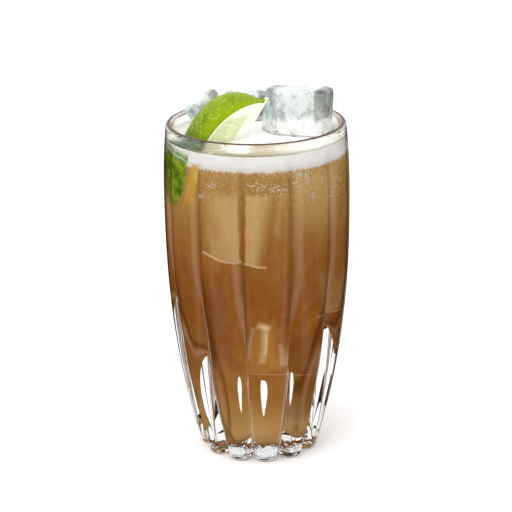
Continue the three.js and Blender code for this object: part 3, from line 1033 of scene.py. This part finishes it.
def bubble_finish():
    finish = Finish(
        "clinging bubbles", Base_Color=light(238, 222, 190), Roughness=0.15, IOR=1.33,
        Coat_Weight=0.6,
    )
    place = finish.millimetres()
    tone = finish.noise(place, 2.0)
    finish.set({"Base Color": finish.mix(tone, light(214, 182, 124), light(250, 244, 230))})
    return finish.material


BUBBLE_CLUSTERS = (
    (-18.4, 129.5, 1.2), (-22.7, 124.3, 1.0), (-0.4, 129.8, 2.0), (5.3, 129.0, 2.6),
    (9.5, 128.4, 1.8), (17.7, 134.0, 1.8), (21.9, 124.4, 2.8), (32.8, 126.0, 2.6),
    (19.0, 131.0, 3.0), (30.5, 122.0, 2.0),
)


def bubbles(form, settings):
    """Small bubbles against the wall: clusters at the front, and a fine scatter all round."""
    draw = random.Random(7)
    bm = bmesh.new()
    for i in range(settings.bubbles):
        if i % 3:
            across, height, spread = draw.choice(BUBBLE_CLUSTERS)
            angle = math.asin(max(-0.99, min(0.99, across / BUBBLE_REACH)))
            angle += draw.gauss(0, spread) / BUBBLE_REACH
            height = (height + draw.gauss(0, spread * 0.7)) * MM
            size = draw.triangular(0.12, 0.5, 0.2) * MM
        else:
            angle = draw.uniform(-math.pi, math.pi)
            height = (136 - abs(draw.gauss(0, 14))) * MM
            size = draw.uniform(0.1, 0.22) * MM
        radius = form.inside(height) + INTO_WALL - size * 0.3
        spot = Vector((radius * math.sin(angle), -radius * math.cos(angle), height))
        bmesh.ops.create_icosphere(
            bm, subdivisions=2, radius=size, matrix=Matrix.Translation(spot),
        )
    return bm


class COCKTAIL_OT_drink(bpy.types.Operator):
    """Makes the cloudy drink, which reaches just into the wall, and its bubbles"""
    bl_idname = "cocktail.drink"
    bl_label = "Drink"

    def execute(self, context):
        settings = context.scene.cocktail.drink
        form = GlassForm(context.scene.cocktail.glass)
        body = piece_from("drink_cloudy", drink_body(form, settings.level), drink_finish(context))
        cut_out(body, [ice_room(name) for name in ICE])
        rides(body, "amber_drink", "drink")
        cling = piece_from("drink_bubbles", bubbles(form, settings), bubble_finish())
        rides(cling, "amber_drink")
        return {"FINISHED"}


# Foam

FOAM_EDGE = 142.6
FOAM_STEPS = 300


def foam_finish(settings, lime):
    # The foam glows faintly on its side with its own colour: painted light that brightens it behind
    # the glass.
    finish = Finish(
        "foam", Roughness=0.5, IOR=1.33, Subsurface_Weight=0.3, Subsurface_Scale=1.5 * MM,
        Subsurface_Radius=(1, 0.9, 0.75), Emission_Strength=0.14,
    )
    place = finish.millimetres()
    x, y, z = finish.parts(place)
    large = finish.cells(place, 1.1)
    small = finish.cells(place, 0.45)
    cloud = finish.noise(finish.stretched(place, 0.6, 1.2, 1), 7, detail=4.0)
    colour = finish.mix(cloud.ramp(0.6, 0.85) * 0.3, tuple(settings.colour), light(238, 230, 210))
    distance = (x * x + y * y).root()
    on_top = z.ramp(FOAM_EDGE - 0.5, FOAM_EDGE)
    # Painted shade: the top of the foam is greyer near the wall.
    shaded_beside_wall = distance.ramp(26, 32) * on_top
    colour = finish.mix(shaded_beside_wall * 0.6, colour, light(208, 207, 186))
    thin = distance.ramp(22, 25) * on_top * cloud.ramp(0.32, 0.46) * (0 - y).ramp(14, 20)
    colour = finish.mix(thin * x.ramp(26, 0) * 0.75, colour, light(156, 138, 88))

    # Painted shade: dark green on the foam top just in front of the lime, for its peel in shadow.
    _, lx, ly, _, radius, rind = lime_coordinates(finish, lime, place)
    half = lime.opening / 2
    beside = abs(ly) * math.cos(half) - lx * math.sin(half)
    away = (radius - rind).high(beside) + (cloud - 0.5) * 3
    front = (0 - y).ramp(8, 14) * distance.ramp(21, 25) * x.ramp(-19.5, -22.5) * on_top
    colour = finish.mix(away.ramp(6.5, 3.5) * front, colour, light(28, 72, 0))
    at_wall = lime_at_wall(finish, finish.wall_sheet(place, WALL_WAVES), colour)
    # Painted light: only the side of the foam glows.
    on_side = distance.ramp(34, 35.5)
    colour = finish.mix(on_side, colour, at_wall)
    finish.set({"Base Color": colour, "Emission Color": finish.mix(on_side, (0, 0, 0), colour)})
    finish.bump(large.ramp(0.0, 0.7) + small * 0.5, 0.3 * MM, 0.6)
    return finish.material


def foam_layer(form, settings, low):
    wall = form.inside(settings.level) + INTO_WALL
    profile = [
        (0, low),
        *filling_profile(form, low, settings.level, 5),
        *[(radius, settings.level) for radius in steps(wall, 0, 90)[1:]],
    ]
    bm = spun(profile, FOAM_STEPS)
    for vert in bm.verts:
        if vert.co.z > settings.level - 0.01 * MM:
            spot = vert.co / MM
            share = min(1, vert.co.xy.length / wall)
            calm = 1 - share ** 6
            wave = math.sin(spot.x / 3) * math.cos(spot.y / 4 + 1) * 0.25
            bubbles_here = 0.3 * (0.5 - noise.voronoi(spot / 1.3)[0][0])
            lumps = 0.25 * noise.noise(spot / 5)
            vert.co.z += (calm * (wave + lumps) + bubbles_here + 0.5 * share ** 12) * MM
    return bm


class COCKTAIL_OT_foam(bpy.types.Operator):
    """Makes the white foam round the lime and the ice"""
    bl_idname = "cocktail.foam"
    bl_label = "Foam"

    def execute(self, context):
        settings = context.scene.cocktail.foam
        form = GlassForm(context.scene.cocktail.glass)
        low = context.scene.cocktail.drink.level
        finish = foam_finish(settings, context.scene.cocktail.lime)
        foam = piece_from("foam_bubbly", foam_layer(form, settings, low), finish)
        cut_out(foam, [ice_room(name) for name in ICE])
        rides(foam, "white_foam", "foam")
        return {"FINISHED"}


# Stage

CAMERA_PLACE = (-0.000807, -0.7, 0.3324)
CAMERA_PITCH = math.radians(19.316)
CAMERA_ROLL = math.radians(-0.875)
CAMERA_FOCUS = 1698.4
PICTURE_WIDTH = 512
SENSOR_WIDTH = 36
AIM = (0, 0, 0.08)
DARK = (0.02, 0.009, 0.006)
WARM = (1, 0.8, 0.68)
# Cards round the glass: two ends as radius and height, angles from the front towards +X, colour,
# strength, and how much of the card's width is faded out at its sides.
CARDS = {
    "dark_floor": (((0.03, 0.001), (1.2, 0.001)), (-180, 180), DARK, 1, 0),
    "soft_front_left": (((0.09, 0.002), (0.9, 0.002)), (-70, -30), WARM, 0.6, 0.8),
    "soft_front_right": (((0.09, 0.002), (0.9, 0.002)), (30, 70), WARM, 0.6, 0.8),
}
# Dark cards seen through the clear glass: how many, their share of the way round, and their ends
DARK_RINGS = {
    "dark_wall": (14, 0.5, ((0.22, 0.001), (0.22, 0.08))),
    "dark_stripe": (20, 0.25, ((0.034, 0.0015), (0.2, 0.0015))),
}
SPOT_PLACE = (0, -0.067, 0.003)
SPOT_SIZE = (0.016, 0.016)
SPOT_TAPER = 0.85
UNDER_PLACE = (0, 0, 0.0002)
UNDER_SIZE = (0.02, 0.02)


def hidden_card(name, bm, finish, through_glass=False):
    """A card that only reflections and, if asked, the rays through the glass see."""
    finish.set({"Base Color": (0, 0, 0), "Specular IOR Level": 0.0})
    panel = piece_from(name, bm, finish.material)
    panel.visible_camera = False
    panel.visible_diffuse = False
    panel.visible_shadow = False
    panel.visible_transmission = through_glass


def swept_card(name, ends, angles, colour, strength, faded, through_glass=False):
    bm = bmesh.new()
    start, stop = (math.radians(angle) for angle in angles)
    verts = [bm.verts.new((r * math.sin(start), -r * math.cos(start), z)) for r, z in ends]
    edge = bm.edges.new(verts)
    bmesh.ops.spin(
        bm, geom=[*verts, edge], cent=(0, 0, 0), axis=(0, 0, 1), dvec=(0, 0, 0),
        angle=stop - start, steps=48, use_merge=False, use_duplicate=False,
    )
    finish = Finish(name, Emission_Color=colour, Emission_Strength=strength)
    if faded:
        x, y, _ = finish.parts(finish.millimetres())
        half = (stop - start) / 2
        away = abs(x.math("ARCTAN2", 0 - y) - (start + half))
        glow = finish.mix(away.ramp(half, half * (1 - faded)), DARK, colour)
        finish.set({"Emission Color": glow})
    hidden_card(name, bm, finish, through_glass)


def round_card(name, place, size, taper, strength, patchy=False):
    """A flat white disc, drawn in towards +Y by its taper, or a patchy one seen through glass."""
    bm = bmesh.new()
    bmesh.ops.create_circle(bm, cap_ends=True, segments=32, radius=1)
    for vert in bm.verts:
        vert.co.x *= 1 - taper * (1 + vert.co.y) / 2
    matrix = Matrix.Translation(place) @ Matrix.Diagonal((*size, 1, 1))
    bmesh.ops.transform(bm, matrix=matrix, verts=bm.verts)
    finish = Finish(name, Emission_Color=(1, 1, 1), Emission_Strength=strength)
    if patchy:
        spot = finish.millimetres()
        x, y, _ = finish.parts(spot)
        middle = (x * x + y * y).root().ramp(20, 8) * 0.2
        bright = (finish.noise(spot, 2.2, detail=1.0) + middle).ramp(0.52, 0.6)
        finish.set({"Emission Color": finish.mix(bright, DARK, (1, 1, 1))})
    hidden_card(name, bm, finish, patchy)


def soft_light(name, place, size, power):
    lamp = bpy.data.lights.new(name, "AREA")
    lamp.size = size
    lamp.energy = power
    holder = bpy.data.objects.new(name, lamp)
    facing = (Vector(AIM) - Vector(place)).to_track_quat("-Z", "Y").to_matrix().to_4x4()
    holder.matrix_world = Matrix.Translation(place) @ facing
    bpy.context.scene.collection.objects.link(holder)


class COCKTAIL_OT_stage(bpy.types.Operator):
    """Makes the pale floor, the soft light and the camera"""
    bl_idname = "cocktail.stage"
    bl_label = "Stage"

    def execute(self, context):
        settings = context.scene.cocktail.stage
        bm = bmesh.new()
        bmesh.ops.create_grid(bm, x_segments=1, y_segments=1, size=4)
        paper = Finish(
            "pale floor", Base_Color=tuple(settings.floor), Roughness=0.9, Specular_IOR_Level=0.0,
        )
        floor = piece_from("floor", bm, paper.material)

        world = bpy.data.worlds.new("studio")
        world.use_nodes = True
        sky = world.node_tree.nodes["Background"]
        sky.inputs["Color"].default_value = (1, 1, 1, 1)
        sky.inputs["Strength"].default_value = settings.sky
        context.scene.world = world
        for name, card in CARDS.items():
            swept_card(name, *card)
        for name, (count, share, ends) in DARK_RINGS.items():
            for i in range(count):
                angles = (i * 360 / count, (i + share) * 360 / count)
                swept_card(f"{name}_{i}", ends, angles, DARK, 1, 0, True)
        round_card("bright_spot", SPOT_PLACE, SPOT_SIZE, SPOT_TAPER, 24)
        round_card("light_under_foot", UNDER_PLACE, UNDER_SIZE, 0, 0.85, True)
        soft_light("top_light", (-0.5, -0.6, 1.1), 0.8, 6)

        lens = bpy.data.cameras.new("camera")
        lens.sensor_width = SENSOR_WIDTH
        lens.lens = CAMERA_FOCUS * SENSOR_WIDTH / PICTURE_WIDTH
        camera = bpy.data.objects.new("camera", lens)
        tilt = Matrix.Rotation(math.pi / 2 - CAMERA_PITCH, 4, "X")
        roll = Matrix.Rotation(CAMERA_ROLL, 4, "Z")
        camera.matrix_world = Matrix.Translation(CAMERA_PLACE) @ tilt @ roll
        context.scene.collection.objects.link(camera)
        context.scene.camera = camera
        context.scene.view_settings.view_transform = "Standard"
        return {"FINISHED"}


class COCKTAIL_PT_panel(bpy.types.Panel):
    bl_label = "Mule cocktail"
    bl_idname = "COCKTAIL_PT_panel"
    bl_space_type = "VIEW_3D"
    bl_region_type = "UI"
    bl_category = "Cocktail"

    def draw(self, context):
        for name in ("ice", "lime", "drink", "foam", "glass", "stage"):
            settings = getattr(context.scene.cocktail, name)
            column = self.layout.column(align=True)
            column.operator("cocktail." + name)
            for key in settings.__annotations__:
                column.prop(settings, key)


CLASSES = (
    GlassSettings,
    DrinkSettings,
    FoamSettings,
    LimeSettings,
    IceSettings,
    StageSettings,
    CocktailSettings,
    COCKTAIL_OT_glass,
    COCKTAIL_OT_drink,
    COCKTAIL_OT_foam,
    COCKTAIL_OT_lime,
    COCKTAIL_OT_ice,
    COCKTAIL_OT_stage,
    COCKTAIL_PT_panel,
)


def register():
    for cls in CLASSES:
        bpy.utils.register_class(cls)
    bpy.types.Scene.cocktail = PointerProperty(type=CocktailSettings)


def unregister():
    del bpy.types.Scene.cocktail
    for cls in reversed(CLASSES):
        bpy.utils.unregister_class(cls)


def main():
    register()
    bpy.ops.cocktail.ice()
    bpy.ops.cocktail.lime()
    bpy.ops.cocktail.drink()
    bpy.ops.cocktail.foam()
    bpy.ops.cocktail.glass()
    bpy.ops.cocktail.stage()


if __name__ == "__main__":
    main()
